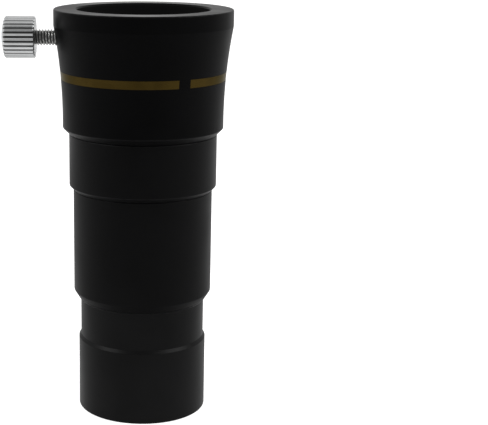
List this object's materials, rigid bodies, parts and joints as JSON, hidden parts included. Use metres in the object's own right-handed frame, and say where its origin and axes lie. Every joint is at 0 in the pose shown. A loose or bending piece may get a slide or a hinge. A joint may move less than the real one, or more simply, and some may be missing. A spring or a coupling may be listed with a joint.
{
  "type": "barlow lens",
  "caption": "Tubular telescope Barlow lens with a flared eyepiece socket, knurled clamp screw, stepped barrel, undercut nose and a negative lens group.",
  "frame": {"origin": "on the optical axis at the nose end, where the barrel goes into a focuser", "axes": "+Z along the optical axis towards the eyepiece, -X along the thumbscrew's way out"},
  "size_m": [0.0556, 0.0432, 0.0997],
  "materials": {
    "black_anodised": "satin black anodised, finely turned",
    "matt_black": "matt black anodised",
    "gold_enamel": "satin dark gold",
    "optical_glass": "polished, coated",
    "bright_nickel": "bright nickel plate",
    "screw_steel": "plated steel thread",
    "nylon": "natural nylon"
  },
  "bodies": {
    "barrel": {"eyepiece_holder": "black_anodised", "gold_band": "gold_enamel", "body_tube": "black_anodised", "nose_barrel": "black_anodised", "retaining_ring": "matt_black", "front_lens": "optical_glass", "spacer_ring": "matt_black", "middle_lens": "optical_glass", "rear_lens": "optical_glass"},
    "clamp_tip": {"thumbscrew_tip": "nylon"},
    "thumbscrew": {"thumbscrew_head": "bright_nickel", "thumbscrew_stud": "screw_steel"}
  },
  "joints": [
    {"name": "clamp_travel", "type": "slide", "parent": "barrel", "child": "clamp_tip", "axis": [1, 0, 0], "range_m": [-0.0028, 0.0035]},
    {"name": "thumbscrew_turn", "type": "hinge", "parent": "clamp_tip", "child": "thumbscrew", "pos_m": [-0.0256, 0, 0.0927], "axis": [1, 0, 0], "range_deg": [-1450, 1810]}
  ],
  "couplings": [
    {"joint": "thumbscrew_turn", "follows": "clamp_travel", "rad_per_m": 8976}
  ]
}
